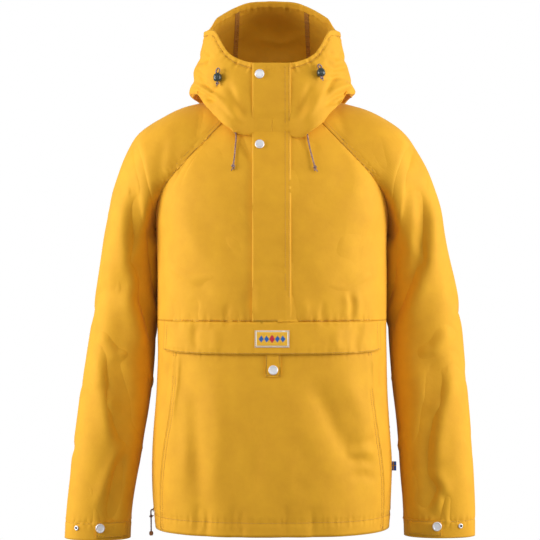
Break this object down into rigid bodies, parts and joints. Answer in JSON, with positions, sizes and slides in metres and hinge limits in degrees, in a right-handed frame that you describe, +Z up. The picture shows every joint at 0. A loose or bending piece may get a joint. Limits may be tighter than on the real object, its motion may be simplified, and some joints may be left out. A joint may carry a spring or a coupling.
{
  "type": "hooded anorak pullover",
  "caption": "Hooded pullover anorak with raglan sleeves, half-length snap placket, flapped pouch pocket and drawcords, filled out as if worn.",
  "frame": {"origin": "at the base of the neck, in the middle of the neck opening, where the wearer's neck and shoulders hold the garment", "axes": "+X to the wearer's left, the front faces -Y, +Z up along the wearer's height"},
  "size_m": [0.6955, 0.3254, 0.9152],
  "materials": {
    "cloth": "tightly woven waxed cotton blend, golden yellow, soft sheen",
    "patch": "woven patch with a white border, yellow field and a blue and red motif",
    "label": "woven blue label with a yellow cross",
    "snap": "matte silver snap caps",
    "eyelet": "small painted eyelets",
    "cord": "thin braided cord, brown with a lighter fleck",
    "bead": "small brown cord bead",
    "lock": "dark grey-green moulded cord lock"
  },
  "bodies": {
    "root": {"front_upper_left": "cloth", "front_upper_right": "cloth", "front_lower": "cloth", "side_front_left": "cloth", "side_front_right": "cloth", "back": "cloth", "sleeve_left": "cloth", "sleeve_right": "cloth", "hood_left": "cloth", "hood_centre": "cloth", "hood_right": "cloth", "hood_tunnel": "cloth", "placket": "cloth", "pocket_flap": "cloth", "pocket_tab": "cloth", "cuff_tab_left": "cloth", "cuff_tab_right": "cloth", "patch": "patch", "flag_label": "label", "snap_placket_top": "snap", "snap_placket_low": "snap", "snap_pocket_tab": "snap", "snap_cuff_left": "snap", "snap_cuff_right": "snap", "stud_cuff_left": "snap", "stud_cuff_right": "snap", "eyelet_neck_left": "eyelet", "eyelet_neck_right": "eyelet", "eyelet_hem": "eyelet", "cord_neck_left": "cord", "cord_neck_right": "cord", "knot_neck_left": "cord", "knot_neck_right": "cord", "cord_hem": "cord", "bead_hem": "bead", "cord_lock_left": "lock", "cord_lock_right": "lock", "cord_loop_left": "cord", "cord_loop_right": "cord", "cord_tail_left": "cord", "cord_tail_right": "cord"}
  },
  "joints": []
}
